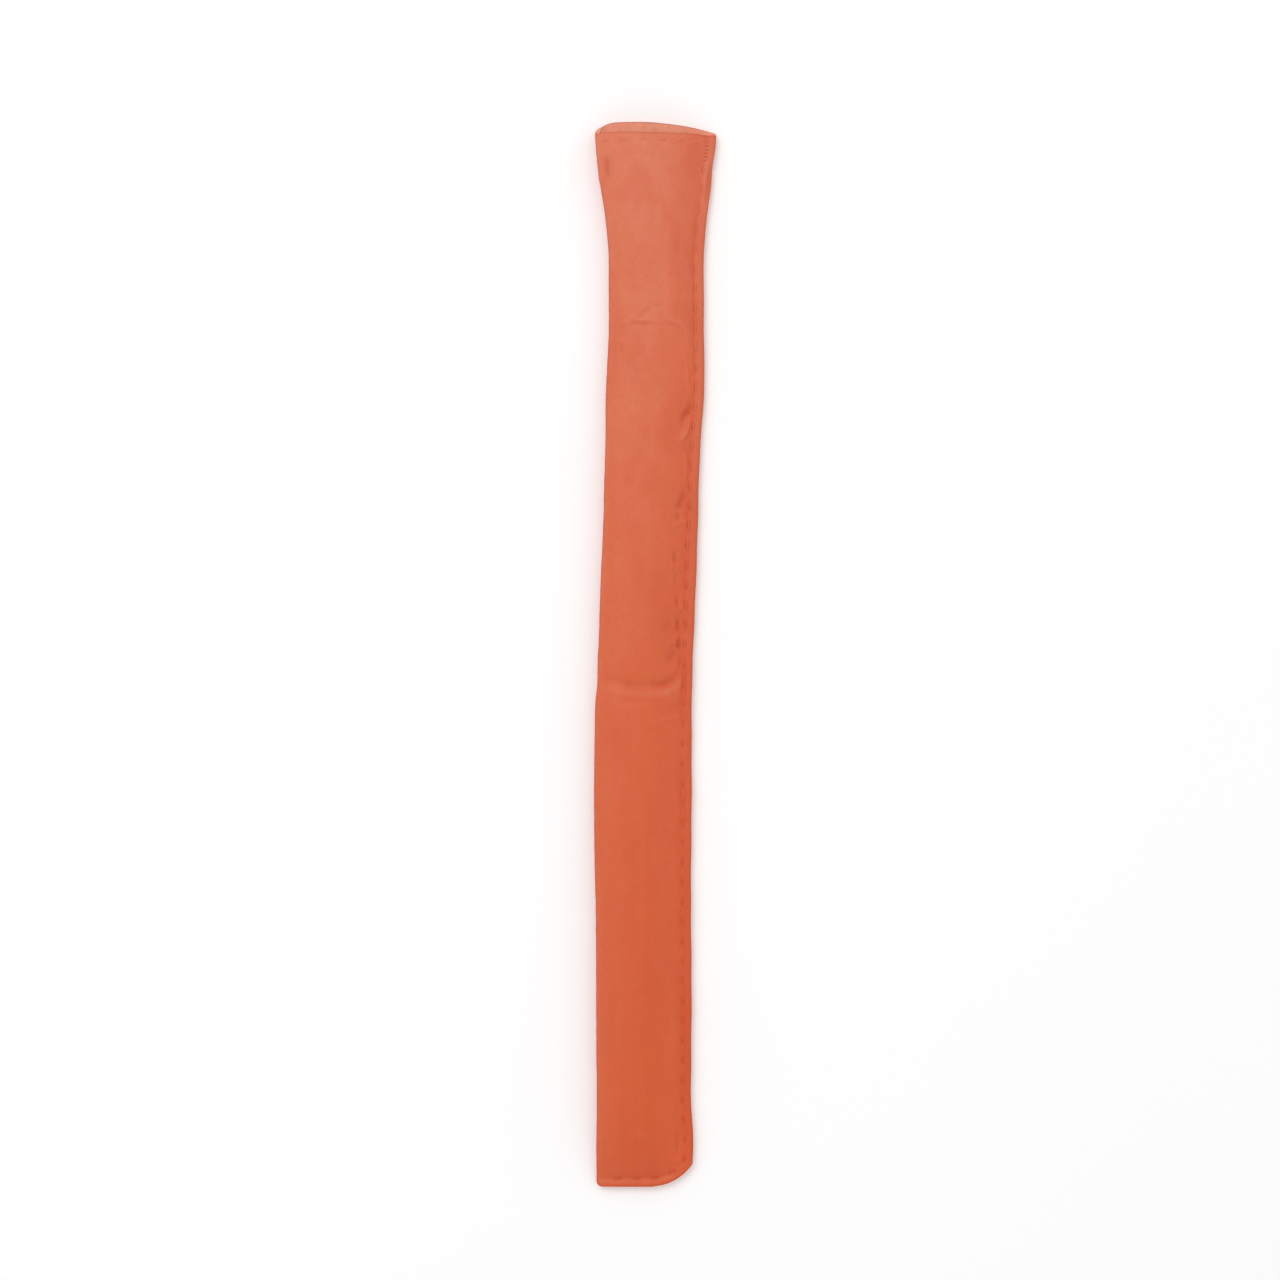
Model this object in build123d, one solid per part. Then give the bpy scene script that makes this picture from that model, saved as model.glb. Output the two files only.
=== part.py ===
from build123d import *
import math
import os

# A leather cover for golf alignment rods: a long flat sleeve, folded down its left side, sewn
# along its right side and across its toe, and flared at its open mouth.
# It lies on its back. +X is across, to the right of someone facing its front, +Y runs along it
# to the mouth, and +Z comes up out of its front. Millimetres.

# Plan of the sleeve
length = 380.0            # toe edge to the crest of the mouth rim
body_width = 33.8         # flat width below the flare
mouth_width = 43.8        # flat width at the mouth
flare_length = 47.0       # mouth to where the body width begins
upper_bend = 99.0         # mouth to the upper soft bend
lower_bend = 202.0        # mouth to the lower soft bend
lean = 4.1                # how far the lower part stands to the left of the mouth
mouth_corner_drop = 4.3   # the right end of the rim, below its crest
crest_end = 4.5           # right end of the level part of the rim, from the centre of the mouth
mouth_corner_radius = 3.6
front_rim_drop = 5.4      # the front wall ends this far below the crest of the back wall
front_rim_step = 0.8      # and this far below the back wall's rim at the right
toe_rise = 7.5            # height of the rounded corner at the right end of the toe
toe_round = 15.0          # width of that corner
toe_fold_radius = 2.0     # the left corner of the toe

# Layers
leather = 1.2
lining_cloth = 0.5
facing_depth = 12.5       # strip that lines the mouth
seam_inset = 3.0          # stitch line to the raw edge

# Thickness of the whole sleeve as it lies
mouth_height = 14.4
body_height = 12.2
height_change = 62.0      # mouth to where the body height begins
mouth_fold_radius = 4.4
body_fold_radius = 3.6
toe_taper = 30.0          # length over which the room closes down to the toe seam

# Shape of the front wall from fold to stitch line: share of the width, share of the height
shoulder = (0.22, 0.93)
crown = (0.5, 1.0)
haunch = (0.77, 0.86)

# Thread
thread_width = 0.8
thread_thick = 0.5
thread_sink = 0.3         # how far the outer stitches pull into the leather
base_clear = 0.06         # the under-stitches stay this far above the resting face
stitch_length = 3.5       # one hole to the next
seam_start = 15.5         # first hole of the side seam, from the crest of the mouth
hem_inset = 2.6           # hem stitches to the front rim
hem_span = (0.24, 0.93)   # the part of the front wall's curve that the front hem runs along
tack_length = 2.2
tack_gap = 1.95           # first hole of the side seam to the nearest tack
tack_pitch = 1.3
tack_count = 5

# Making allowances
overrun = 2.0             # cutting solids run past the faces they cut
room_wedge = 0.02         # least height of the room's edge at the seam
room_end_gap = 1.0        # the room stops this far short of the toe seam
flare_steps = 6           # sections taken along the flare
toe_steps = 6             # and along the taper at the toe

flange = 2 * (leather + lining_cloth)
body_left_at_toe = -lean - body_width / 2
body_right_at_toe = -lean + body_width / 2
toe_radius = (toe_round**2 + toe_rise**2) / (2 * toe_rise)
toe_centre_x = body_right_at_toe - toe_round
toe_seam = length - seam_inset


def blend(start, end, share):
    """A value that goes smoothly from start to end as share goes from 0 to 1."""
    share = min(max(share, 0.0), 1.0)
    return start + (end - start) * (1 - math.cos(math.pi * share)) / 2


def centre(s):
    """Middle of the sleeve at s mm below the mouth."""
    share = min(max((s - upper_bend) / (lower_bend - upper_bend), 0.0), 1.0)
    return -lean * share


def half_width(s):
    """Half of the flat width: a straight taper eased at both of its ends."""
    share = min(max(s / flare_length, 0.0), 1.0)
    straight = mouth_width + (body_width - mouth_width) * share
    return (straight + blend(mouth_width, body_width, share)) / 4


def left_edge(s):
    return centre(s) - half_width(s)


def right_edge(s):
    return centre(s) + half_width(s)


def seam_edge(s):
    """The stitch line beside the right edge. It follows the toe's rounded corner."""
    straight = right_edge(s) - seam_inset
    inner_radius = toe_radius - seam_inset
    rise = toe_radius - (length - s)
    if rise <= 0:
        return straight
    reach = math.sqrt(max(inner_radius**2 - rise**2, 0.0))
    return min(straight, toe_centre_x + reach)


def toe_share(s):
    """1 along the body, falling to 0 at the toe seam on a quarter ellipse."""
    share = min(max((s - (toe_seam - toe_taper)) / toe_taper, 0.0), 1.0)
    return math.sqrt(max(1 - share**2, 0.0))


def height(s):
    full = blend(mouth_height, body_height, s / height_change)
    return flange + (full - flange) * toe_share(s)


def fold_radius(s):
    full = blend(mouth_fold_radius, body_fold_radius, s / height_change)
    return flange / 2 + (full - flange / 2) * toe_share(s)


def wall_curve(s, depth, seam_top):
    """Fold and front wall of one layer, from the flat back round to the stitch line."""
    left = left_edge(s) + depth
    seam = seam_edge(s)
    top = max(height(s) - depth, seam_top)
    fold = fold_radius(s)
    wall = [
        (left + across * (seam - left), seam_top + up * (top - seam_top))
        for across, up in (shoulder, crown, haunch)
    ]
    return Spline((left + fold - depth, depth), (left, fold), *wall, (seam, seam_top))


def section(s, depth, seam_top, right):
    """Closed section of a layer at s. right is where it ends past the seam, if it does."""
    plane = Plane(origin=(0, length - s, 0), x_dir=(1, 0, 0), z_dir=(0, -1, 0))
    wall = wall_curve(s, depth, seam_top)
    start = wall @ 0
    end = wall @ 1
    if right is None:
        edges = [wall, Line(end, (end.X, depth)), Line((end.X, depth), start)]
    else:
        edges = [
            wall,
            Line(end, (right, seam_top)),
            Line((right, seam_top), (right, depth)),
            Line((right, depth), start),
        ]
    return plane * make_face(edges)


def stations(first, last):
    """Where the sections are taken: closer together in the flare and near the toe."""
    taper_start = toe_seam - toe_taper
    marks = [flare_length * n / flare_steps for n in range(flare_steps + 1)]
    marks += [height_change, upper_bend, (upper_bend + lower_bend) / 2, lower_bend]
    marks += [(lower_bend + taper_start) / 2]
    turns = [math.pi / 2 * n / toe_steps for n in range(toe_steps)]
    marks += [taper_start + toe_taper * math.sin(turn) for turn in turns]
    inside = sorted(m for m in marks if first < m < last)
    return [first, *inside, last]


def plan(back_rim):
    """Cutting solid with the plan outline of the sleeve, tall enough for every layer."""
    far = mouth_width
    rim_left = -half_width(0)
    corner_y = length - mouth_corner_drop
    corner_x = half_width(0)
    radius = mouth_corner_radius
    if back_rim:
        slope = mouth_corner_drop / (corner_x - crest_end)
        top = [
            Line((-far, length - radius), (rim_left, length - radius)),
            CenterArc((rim_left + radius, length - radius), radius, 180, -90),
            Line((rim_left + radius, length), (crest_end, length)),
            Line((crest_end, length), (far, length - slope * (far - crest_end))),
        ]
    else:
        top = [Line((-far, length - front_rim_drop), (far, corner_y - front_rim_step))]
    rim_end = top[-1] @ 1
    rim_start = top[0] @ 0
    sweep = math.degrees(math.asin(toe_round / toe_radius))
    arc = CenterArc((toe_centre_x, toe_radius), toe_radius, -90 + sweep, -sweep)
    corner = body_left_at_toe + toe_fold_radius
    outline = [
        *top,
        Line(rim_end, (far, toe_rise)),
        Line((far, toe_rise), (body_right_at_toe, toe_rise)),
        arc,
        Line((toe_centre_x, 0), (corner, 0)),
        CenterArc((corner, toe_fold_radius), toe_fold_radius, 270, -90),
        Line((body_left_at_toe, toe_fold_radius), (-far, toe_fold_radius)),
        Line((-far, toe_fold_radius), rim_start),
    ]
    face = make_face(outline)
    solid = extrude(face, mouth_height + 2 * overrun, dir=(0, 0, 1))
    return Pos(0, 0, -overrun) * solid


def layer(depth, seam_top, first, last, past_edge):
    """Solid bounded by one layer surface, lofted straight from section to section."""
    faces = []
    for s in stations(first, last):
        right = None if past_edge is None else right_edge(s) + past_edge
        faces.append(section(s, depth, seam_top, right))
    return loft(faces, ruled=True)


def box_between(low, high):
    size = [h - l for l, h in zip(low, high)]
    middle = [(h + l) / 2 for l, h in zip(low, high)]
    return Pos(*middle) * Box(*size)


def mouth_notch():
    """What is cut away above the front rim: everything over the middle of the fold."""
    far = mouth_width
    block = box_between(
        (-far, length - 2 * facing_depth, fold_radius(0)),
        (far, length + 2 * overrun, mouth_height + overrun),
    )
    return block - plan(False)


def seam_path():
    """Stitch line in plan, from the mouth down the right side and across the toe."""
    inner_radius = toe_radius - seam_inset
    turn = math.asin((toe_round - seam_inset) / inner_radius)
    corner_s = length - toe_radius + inner_radius * math.cos(turn)
    marks = stations(seam_start, corner_s)
    side = Polyline(*[(right_edge(s) - seam_inset, length - s) for s in marks])
    arc_end = math.degrees(turn)
    arc = CenterArc((toe_centre_x, toe_radius), inner_radius, -90 + arc_end, -arc_end)
    toe = Line(
        (toe_centre_x, seam_inset),
        (body_left_at_toe + fold_radius(toe_seam) + thread_width, seam_inset),
    )
    return side, arc, toe


def thread_block(a, b, low, high):
    """A length of thread lying from a to b in plan, between two heights."""
    run = Vector(b[0] - a[0], b[1] - a[1])
    angle = math.degrees(math.atan2(run.Y, run.X))
    middle = ((a[0] + b[0]) / 2, (a[1] + b[1]) / 2, (low + high) / 2)
    block = Box(run.length + thread_width, thread_width, high - low)
    return Pos(*middle) * Rot(0, 0, angle) * block


def running_stitch(points):
    """One thread through every hole: over the front for one stitch, under for the next."""
    top = flange - thread_sink
    low = base_clear
    pieces = []
    for n, (a, b) in enumerate(zip(points, points[1:])):
        if n % 2 == 0:
            pieces.append(thread_block(a, b, top, top + thread_thick))
        else:
            pieces.append(thread_block(a, b, low, low + thread_thick))
    for p in points:
        shank = Box(thread_width, thread_width, top + thread_thick - low)
        pieces.append(Pos(p[0], p[1], (top + thread_thick + low) / 2) * shank)
    return pieces[0].fuse(*pieces[1:])


def holes_along(path):
    """Hole centres an even stitch apart along a line in plan."""
    count = max(2, round(path.length / stitch_length) + 1)
    if count % 2 == 1:
        count -= 1
    return [tuple(path @ (n / (count - 1)))[:2] for n in range(count)]


def hem_stitches(s, front):
    """Short stitches through one wall and the facing, in a row below the rim."""
    wall = leather + lining_cloth
    y = length - s
    stitches = []
    if front:
        plane = Plane(origin=(0, y, 0), x_dir=(1, 0, 0), z_dir=(0, -1, 0))
        curve = plane * wall_curve(s, 0, flange)
        start, end = hem_span
        count = int(curve.length * (end - start) / (2 * stitch_length))
        for n in range(count):
            share = start + (end - start) * (n + 0.5) / count
            spot = curve @ share
            along = curve % share
            out = Plane(origin=spot, x_dir=along, z_dir=Vector(-along.Z, 0, along.X))
            stitches.append(out * hem_stitch(wall))
    else:
        first = left_edge(s) + mouth_fold_radius + stitch_length
        last = seam_edge(s) - stitch_length
        count = int((last - first) / (2 * stitch_length))
        for n in range(count):
            x = first + (last - first) * (n + 0.5) / count
            under = Plane(origin=(x, y, base_clear - thread_sink + thread_thick), z_dir=(0, 0, -1))
            stitches.append(under * hem_stitch(wall))
    return stitches


def hem_stitch(wall):
    """A staple of thread: a bar outside the wall and two ends that go through it."""
    lowest = -wall - thread_thick / 2
    bar = Box(stitch_length + thread_width, thread_width, thread_thick)
    bar = Pos(0, 0, thread_thick / 2 - thread_sink) * bar
    leg_height = thread_thick - thread_sink - lowest
    leg = Box(thread_width, thread_width, leg_height)
    legs = [
        Pos(side * stitch_length / 2, 0, lowest + leg_height / 2) * leg for side in (-1, 1)
    ]
    return bar.fuse(*legs)


def bar_tack():
    """Tight cross stitches that lock the top of the side seam."""
    top = flange - thread_sink
    tacks = []
    for n in range(tack_count):
        s = seam_start - tack_gap - n * tack_pitch
        x = right_edge(s) - seam_inset
        a = (x - tack_length / 2, length - s)
        b = (x + tack_length / 2, length - s)
        bar = thread_block(a, b, top, top + thread_thick)
        under = thread_block(a, b, base_clear, base_clear + thread_thick)
        tall = top + thread_thick - base_clear
        leg = Box(thread_width, thread_width, tall)
        legs = [Pos(*end, base_clear + tall / 2) * leg for end in (a, b)]
        tacks.append(bar.fuse(under, *legs))
    return tacks


def build():
    outer = layer(0, flange, -overrun, length + overrun, 0)
    outline = plan(True)
    shell = outer & outline
    gap = layer(leather, leather + 2 * lining_cloth, -2 * overrun, length + 2 * overrun, overrun)
    room_depth = leather + lining_cloth
    room = layer(room_depth, room_depth + room_wedge, -2 * overrun, toe_seam - room_end_gap, None)
    notch = mouth_notch()

    wrap = shell - gap - notch
    inside = (gap & shell) - room - notch
    band = box_between(
        (-mouth_width, length - facing_depth, -overrun),
        (mouth_width, length + overrun, mouth_height + overrun),
    )
    facing = inside & band
    lining = inside - band

    side, arc, toe = seam_path()
    side_points = holes_along(side)
    toe_points = holes_along(Wire([arc, toe]))
    side_thread = running_stitch(side_points)
    toe_thread = running_stitch(toe_points[1:])
    hem_s = front_rim_drop + hem_inset
    hem = [*hem_stitches(hem_s, True), *hem_stitches(hem_s, False)]
    tacks = bar_tack()

    threads = [side_thread, toe_thread, *hem, *tacks]
    return {
        "leather_wrap": wrap.cut(*threads),
        "lining": lining.cut(*threads),
        "mouth_facing": facing.cut(*threads),
        "side_seam_thread": side_thread,
        "toe_seam_thread": toe_thread,
        "mouth_hem_thread": Compound(hem),
        "mouth_bar_tack": Compound(tacks),
    }


parts = build()
box = Compound(list(parts.values())).bounding_box()
middle = Pos(-box.center().X, -box.center().Y, -box.min.Z)
os.makedirs("parts", exist_ok=True)
for name, shape in parts.items():
    moved = middle * shape
    export_step(moved, f"parts/{name}.step")
    print(name, len(moved.solids()), round(moved.volume, 2))
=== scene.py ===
import math
import bpy
import numpy as np
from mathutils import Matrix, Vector


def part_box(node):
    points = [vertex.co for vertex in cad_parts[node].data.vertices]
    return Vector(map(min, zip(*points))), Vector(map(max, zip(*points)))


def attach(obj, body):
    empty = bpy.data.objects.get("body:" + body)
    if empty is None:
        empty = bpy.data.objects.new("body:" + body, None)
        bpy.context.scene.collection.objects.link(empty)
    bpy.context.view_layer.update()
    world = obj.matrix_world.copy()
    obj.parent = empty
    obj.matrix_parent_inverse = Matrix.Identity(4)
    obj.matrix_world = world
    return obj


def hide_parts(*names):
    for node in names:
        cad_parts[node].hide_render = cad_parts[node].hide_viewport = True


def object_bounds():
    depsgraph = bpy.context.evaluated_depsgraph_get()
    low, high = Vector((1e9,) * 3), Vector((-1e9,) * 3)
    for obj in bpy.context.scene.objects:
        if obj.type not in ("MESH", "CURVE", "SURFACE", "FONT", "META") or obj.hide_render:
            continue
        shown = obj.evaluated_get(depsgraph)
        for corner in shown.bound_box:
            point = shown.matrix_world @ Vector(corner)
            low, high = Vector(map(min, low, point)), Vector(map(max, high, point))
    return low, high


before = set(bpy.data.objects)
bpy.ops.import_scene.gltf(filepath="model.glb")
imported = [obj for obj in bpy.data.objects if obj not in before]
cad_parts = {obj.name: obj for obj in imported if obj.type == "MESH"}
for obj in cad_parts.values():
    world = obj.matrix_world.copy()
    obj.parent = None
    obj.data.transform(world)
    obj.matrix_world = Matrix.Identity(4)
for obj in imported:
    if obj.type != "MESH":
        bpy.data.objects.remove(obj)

# Looks of the leather rod cover. It lies on its back, mouth towards +Y, front wall up.
# Sizes below are millimetres; MM turns them into the frame's metres. "s" is the distance
# from the crest of the mouth rim towards the toe.

MM = 0.001
cad_low, cad_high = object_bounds()
wrap_low, wrap_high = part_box("leather_wrap")

LENGTH = (wrap_high[1] - wrap_low[1]) / MM
MOUTH_Y = wrap_high[1] / MM

# Plan of the sleeve
MOUTH_CENTRE = 0.07
BODY_WIDTH = 33.8
MOUTH_WIDTH = 43.8
FLARE_LENGTH = 47.0
UPPER_BEND = 99.0
LOWER_BEND = 202.0
BEND_EASE = 14.0
LEAN = 4.1  # how far the toe stands to the left of the mouth
RIM_DROP = 4.3  # right end of the back rim, below its crest
RIM_CREST = -5.4  # x of the crest
RIM_ARCH = 1.95  # how roundly the rim falls from its crest to the right
RIM_CORNER = 5.2  # folded end of the rim, below its crest
RIM_CORNER_WIDTH = 9.5
FRONT_DROP = 5.4  # front rim, below the crest of the back rim
TOE_RISE = 7.5
TOE_ROUND = 15.0
TOE_FOLD_RADIUS = 2.0
TOE_TAPER = 30.0
TOE_CLOSING = 0.8  # how bluntly the room closes along the taper
FLANGE_TIP = 0.02  # the front flange's columns stop this far from their common end

# Layers and thickness
LEATHER = 1.2
CLOTH = 0.48
CLOTH_GAP = 0.02  # between the leather and what lies against it
FACING_DEPTH = 12.5
SEAM_INSET = 3.0  # stitch line to raw edge
FLANGE = 3.4  # both walls and their linings, pressed together
FLANGE_SWELL = 0.3
EDGE_ROUND = 0.2
MOUTH_HEIGHT = 14.2
BODY_HEIGHT = 11.8
HEIGHT_CHANGE = 62.0
MOUTH_FOLD = 4.4
BODY_FOLD = 3.6
RISE_POWER = 2 / 2.6  # squareness of the front wall above the fold
FALL_SHAPE = 2.35  # where the front wall begins to fall towards the seam
FALL_EASE = 1.3  # and how softly it meets the flange

# Thread. A sink is how far a stitch is pulled into what it lies on.
THREAD_RADIUS = 0.4
SEAM_SINK = 0.25
UNDER_SINK = 0.26
HEM_SINK = 0.3
FACING_SINK = 0.1
TACK_SINK = 0.28
SEAM_TROUGH = 0.1  # the seam's stitches start this far below the flange
UNDER_LEVEL = 0.34  # height of the under-stitches' line
STITCH = 3.5
SEAM_START = 15.5
HEM_INSET = 2.6
TACK_LENGTH = 2.2
TACK_PITCH = 1.3
TACK_COUNT = 5

TOE_RADIUS = (TOE_ROUND**2 + TOE_RISE**2) / (2 * TOE_RISE)
TOE_SEAM = LENGTH - SEAM_INSET
TOE_RIGHT = MOUTH_CENTRE - LEAN + BODY_WIDTH / 2
TOE_LEFT = MOUTH_CENTRE - LEAN - BODY_WIDTH / 2
TOE_CENTRE = TOE_RIGHT - TOE_ROUND

ROW_PITCH = 0.62
rng = np.random.default_rng(30)


# ---------------------------------------------------------------- plan and section

def bump(s, middle, reach):
    """A smooth hump of height 1 at middle that dies away over reach."""
    return np.exp(-(((s - middle) / reach) ** 2))


def soft_step(s, where, ease):
    return 0.5 + 0.5 * np.tanh((s - where) / ease)


def eased(share):
    return (1 - np.cos(np.pi * np.clip(share, 0, 1))) / 2


def centre(s):
    """Middle of the sleeve: straight, leaning, straight again, with softened bends."""
    slope = LEAN / (LOWER_BEND - UPPER_BEND)

    def ramp(where):
        return BEND_EASE * np.logaddexp(0, (s - where) / BEND_EASE)

    return MOUTH_CENTRE - slope * (ramp(UPPER_BEND) - ramp(LOWER_BEND))


def half_width(s):
    share = np.clip(s / FLARE_LENGTH, 0, 1)
    straight = MOUTH_WIDTH + (BODY_WIDTH - MOUTH_WIDTH) * share
    smooth = MOUTH_WIDTH + (BODY_WIDTH - MOUTH_WIDTH) * eased(share)
    return (straight + smooth) / 4


def left_edge(s):
    """The folded side, with the small swellings of leather that has been handled."""
    wander = -0.75 * bump(s, 243, 42) - 0.35 * soft_step(s, 204, 2.5) * bump(s, 204, 40)
    wander += 0.45 * bump(s, 66, 18) - 0.5 * bump(s, 98, 14) + 0.3 * bump(s, 200, 5)
    return centre(s) - half_width(s) + wander


def right_edge(s):
    """The stitched side, which wanders a little where the seam puckers."""
    wander = 0.4 * bump(s, 94, 10) - 0.25 * bump(s, 122, 12) + 0.06 * np.sin(s / 3.1)
    wander += 0.8 * bump(s, 364, 9) - 0.35 * bump(s, 16.5, 5) + 0.12 * np.sin(s / 11.7)
    wander += 0.5 * bump(s, 62, 62)
    return centre(s) + half_width(s) + wander * soft_step(s, 6, 2)


def seam_edge(s):
    """The stitch line, which strays inwards where the leather is slack."""
    straight = right_edge(s) - SEAM_INSET - 0.5 * bump(s, 156, 18)
    rise = TOE_RADIUS - (LENGTH - s)
    inner = TOE_RADIUS - SEAM_INSET
    reach = np.sqrt(np.maximum(inner**2 - rise**2, 0))
    return np.where(rise > 0, np.minimum(straight, TOE_CENTRE + reach), straight)


def outer_edge(s):
    """The right edge of the front flange, which follows the toe's rounded corner to its end."""
    rise = TOE_RADIUS - (LENGTH - s)
    reach = np.sqrt(np.maximum(TOE_RADIUS**2 - rise**2, 0))
    return np.where(rise > 0, np.minimum(right_edge(s), TOE_CENTRE + reach), right_edge(s))


def toe_share(s):
    share = np.clip((s - (TOE_SEAM - TOE_TAPER)) / TOE_TAPER, 0, 1)
    return np.maximum(1 - share**2, 0) ** TOE_CLOSING


def height(s):
    full = MOUTH_HEIGHT + (BODY_HEIGHT - MOUTH_HEIGHT) * eased(s / HEIGHT_CHANGE)
    full = full - 0.9 * bump(s, LOWER_BEND, 5) - 0.5 * bump(s, UPPER_BEND, 9)
    return FLANGE + (full - FLANGE) * toe_share(s)


def fold_height(s):
    full = MOUTH_FOLD + (BODY_FOLD - MOUTH_FOLD) * eased(s / HEIGHT_CHANGE)
    return FLANGE / 2 + (full - FLANGE / 2) * toe_share(s)


def columns():
    """Where the columns of the sheet lie: (stretch of the section, place along it)."""
    made = [("back", q) for q in np.linspace(0, 1, 34, endpoint=False)]
    made += [("low_fold", q) for q in np.linspace(0, 1, 8, endpoint=False)]
    made += [("rise", q**1.25) for q in np.linspace(0, 1, 34, endpoint=False)]
    made += [("fall", q) for q in np.linspace(0, 1, 36, endpoint=False)]
    made += [("flange", q) for q in np.linspace(0, 1, 13)]
    return made


COLUMNS = columns()
STRETCH = np.array([c[0] for c in COLUMNS])
PLACE = np.array([c[1] for c in COLUMNS])
ON_FRONT = np.isin(STRETCH, ("rise", "fall", "flange"))


def section(s):
    """x and z of every column at its own s. s has one column for each of COLUMNS."""
    left, right, seam = left_edge(s), right_edge(s), seam_edge(s)
    fold, top = fold_height(s), height(s)
    crown = left + (0.5 + 0.12 * bump(s, 62, 46)) * (seam - left)
    q = np.broadcast_to(PLACE, s.shape)
    turn = q * np.pi / 2
    x = np.zeros_like(s)
    z = np.zeros_like(s)

    def put(name, new_x, new_z):
        at = STRETCH == name
        x[:, at] = new_x[:, at]
        z[:, at] = new_z[:, at]

    put("back", right + (left + fold - right) * q, 0 * s)
    put("low_fold", left + fold * (1 - np.sin(turn)), fold * (1 - np.cos(turn)))
    put(
        "rise",
        crown - (crown - left) * np.cos(turn) ** RISE_POWER,
        fold + (top - fold) * np.sin(turn) ** RISE_POWER,
    )
    fallen = (1 - q**FALL_SHAPE) ** FALL_EASE
    put("fall", crown + (seam - crown) * q, FLANGE + (top - FLANGE) * fallen)
    free = 1 - soft_step(s, TOE_SEAM - 3, 1.5)
    swell = FLANGE_SWELL * np.sin(np.pi * np.clip(q * 1.1, 0, 1)) ** 0.8
    rounding = EDGE_ROUND * np.clip(q * 6 - 5, 0, 1) ** 2
    put("flange", seam + (outer_edge(s) - seam) * q, FLANGE + (swell - rounding) * free)
    return x, z


def rim_start(x, on_front, at_fold):
    """How far below the crest the leather begins, for a column that lies at x."""
    far = MOUTH_WIDTH / 2
    slope = np.clip((x - RIM_CREST) / (far - RIM_CREST), 0, 1)
    corner = np.clip((x + far) / RIM_CORNER_WIDTH, 0, 1)
    back = RIM_DROP * slope**RIM_ARCH + RIM_CORNER * (1 - np.sqrt(1 - (1 - corner) ** 2))
    back = back + 0.06 * np.sin(x * 0.31)
    front = FRONT_DROP + 0.3 * np.cos(x * 0.12) + 0.12 * np.sin(x * 0.27 + 1)
    front = front * (1 - at_fold) + RIM_CORNER * at_fold
    return np.where(on_front, np.maximum(front, back + 0.25 * (1 - at_fold)), back)


def toe_end(x):
    """Where the leather ends at the toe, for a column that lies at x."""
    beyond = np.clip(x - TOE_CENTRE, 0, TOE_ROUND + 1)
    arc = TOE_RADIUS - np.sqrt(TOE_RADIUS**2 - beyond**2)
    near = np.clip((x - TOE_LEFT) / TOE_FOLD_RADIUS, 0, 1)
    fold = TOE_FOLD_RADIUS * (1 - np.sqrt(1 - (1 - near) ** 2))
    return LENGTH - arc - fold


def toe_ends():
    """s at which every column meets the toe's edge. The columns bend, so it is found in steps."""
    end = np.full((1, len(COLUMNS)), LENGTH)
    for _ in range(80):
        end = 0.6 * end + 0.4 * toe_end(section(end)[0])
    return np.where(STRETCH == "flange", LENGTH - FLANGE_TIP, end[0])


def sheet_rows(first, last):
    """s of every point of a sheet. first or last is None for the rim or the toe's edge."""
    edge = np.array([[0.0] * len(COLUMNS)])
    x_mouth = section(edge)[0][0]
    at_fold = np.where(STRETCH == "rise", np.clip(1 - PLACE * 3, 0, 1) ** 2, 0)
    start = rim_start(x_mouth, ON_FRONT, at_fold) if first is None else first + 0 * x_mouth
    end = toe_ends() if last is None else last + 0 * x_mouth
    count = int((np.max(end) - np.min(start)) / ROW_PITCH) + 2
    share = np.linspace(0, 1, count)[:, None]
    return start[None, :] * (1 - share) + end[None, :] * share


def smoothed(grid, times):
    """Blurs a grid of vectors across its columns."""
    for _ in range(times):
        grid[:, 1:-1] = (grid[:, :-2] + 2 * grid[:, 1:-1] + grid[:, 2:]) / 4
    return grid


def base_sheet(s):
    """Points and outward normals of the sleeve's outer face before any crease."""
    x, z = section(s)
    points = np.stack([x, MOUTH_Y - s, z], axis=-1)
    along = np.gradient(points, axis=0)
    across = np.gradient(points, axis=1)
    normals = np.cross(along, across)
    normals /= np.maximum(np.linalg.norm(normals, axis=-1, keepdims=True), 1e-9)
    normals = smoothed(normals, 6)
    upright = np.where(STRETCH == "flange", np.clip(PLACE * 4, 0, 1), 0)[None, :, None]
    normals = normals * (1 - upright) + np.array([0, 0, 1]) * upright
    normals /= np.linalg.norm(normals, axis=-1, keepdims=True)
    return points, normals


# ---------------------------------------------------------------- creases

def curve_through(points, count=60):
    """Points of a smooth curve through a few chosen ones."""
    p = np.array([points[0], *points, points[-1]], float)
    made = []
    spans = len(points) - 1
    for n in range(count):
        u = n / (count - 1) * spans
        k = min(int(u), spans - 1)
        t = u - k
        a, b, c, d = p[k : k + 4]
        made.append(
            0.5 * (2 * b + (c - a) * t + (2 * a - 5 * b + 4 * c - d) * t**2)
            + 0.5 * (3 * b - a - 3 * c + d) * t**3
        )
    return np.array(made)


def crease(x, s, points, groove, ridge, width, offset=0.0, end_taper=0.5):
    """Height of one crease. It has a groove on its line and a ridge offset to its right."""
    line = curve_through(points)
    reach = 5 * width + abs(offset)
    out = np.zeros_like(x)
    near = (
        (x > line[:, 0].min() - reach)
        & (x < line[:, 0].max() + reach)
        & (s > line[:, 1].min() - reach)
        & (s < line[:, 1].max() + reach)
    )
    px, ps = x[near], s[near]
    if px.size == 0:
        return out
    away = (px[:, None] - line[None, :, 0]) ** 2 + (ps[:, None] - line[None, :, 1]) ** 2
    best = away.argmin(axis=1)
    tangent = np.gradient(line, axis=0)
    tangent /= np.linalg.norm(tangent, axis=1, keepdims=True)
    side = tangent[best, 0] * (ps - line[best, 1]) - tangent[best, 1] * (px - line[best, 0])
    distance = np.sqrt(away[np.arange(best.size), best]) * np.sign(side)
    share = best / (len(line) - 1)
    taper = np.sin(np.pi * np.clip(share, 0.02, 0.98)) ** end_taper
    value = -groove * np.exp(-((distance / width) ** 2))
    value += ridge * np.exp(-(((distance - offset) / (width * 1.3)) ** 2))
    out[near] = value * taper
    return out


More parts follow.
